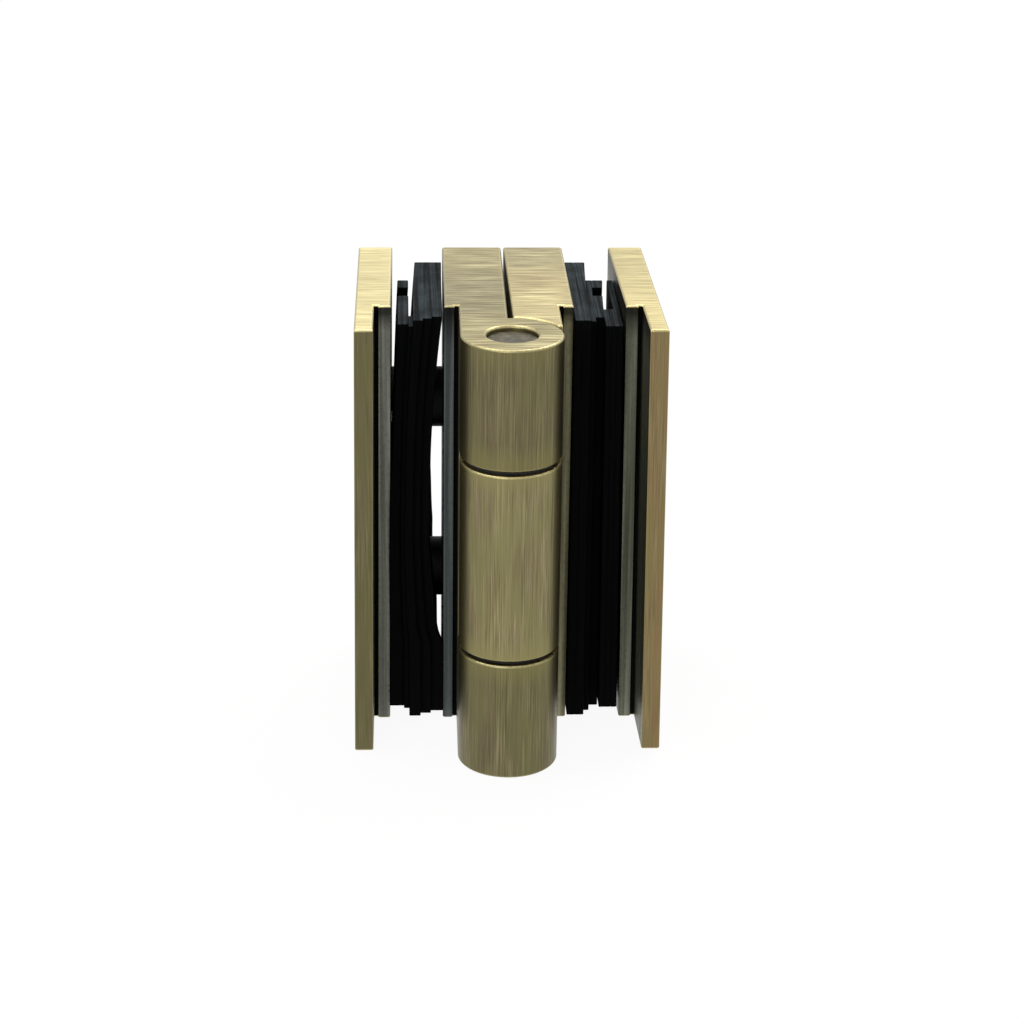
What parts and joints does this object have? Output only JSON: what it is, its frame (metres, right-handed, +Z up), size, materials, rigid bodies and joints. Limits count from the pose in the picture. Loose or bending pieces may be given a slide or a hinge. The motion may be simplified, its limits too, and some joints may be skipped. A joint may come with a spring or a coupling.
{
  "type": "glass-to-glass hinge",
  "caption": "Brushed brass hinge that clamps a glass pane on each side of a three-knuckle barrel, standing folded shut with loose black packing sheets in its glass gaps.",
  "frame": {"origin": "on the pin axis, in the plane of the underside", "axes": "+Z up along the pin axis; -Y towards the front of the barrel; +X towards the swinging side"},
  "size_m": [0.062, 0.0674, 0.09],
  "materials": {
    "antique_brass": "brushed, antique",
    "pin_steel": "turned",
    "screw_steel": "satin",
    "black_nylon": "moulded",
    "packing_rubber": "cut sheet, matt"
  },
  "bodies": {
    "fixed_side": {"left_leaf": "antique_brass", "hinge_pin": "pin_steel", "left_cover": "antique_brass", "left_screws": "screw_steel", "left_sleeves": "black_nylon", "left_sheet_a": "packing_rubber", "left_sheet_b": "packing_rubber", "left_sheet_c": "packing_rubber", "left_strip": "packing_rubber", "left_block": "packing_rubber"},
    "swing_side": {"right_leaf": "antique_brass", "upper_bush": "black_nylon", "lower_bush": "black_nylon", "right_cover": "antique_brass", "right_screws": "screw_steel", "right_sleeves": "black_nylon", "right_sheet_a": "packing_rubber", "right_sheet_b": "packing_rubber", "right_sheet_c": "packing_rubber", "right_block": "packing_rubber", "right_strip": "packing_rubber", "right_outer_strip": "packing_rubber", "right_cover_sheet": "packing_rubber"}
  },
  "joints": [
    {"name": "leaf_swing", "type": "hinge", "parent": "fixed_side", "child": "swing_side", "pos_m": [0, 0, 0], "axis": [0, 0, -1], "range_deg": [0, 180]}
  ]
}
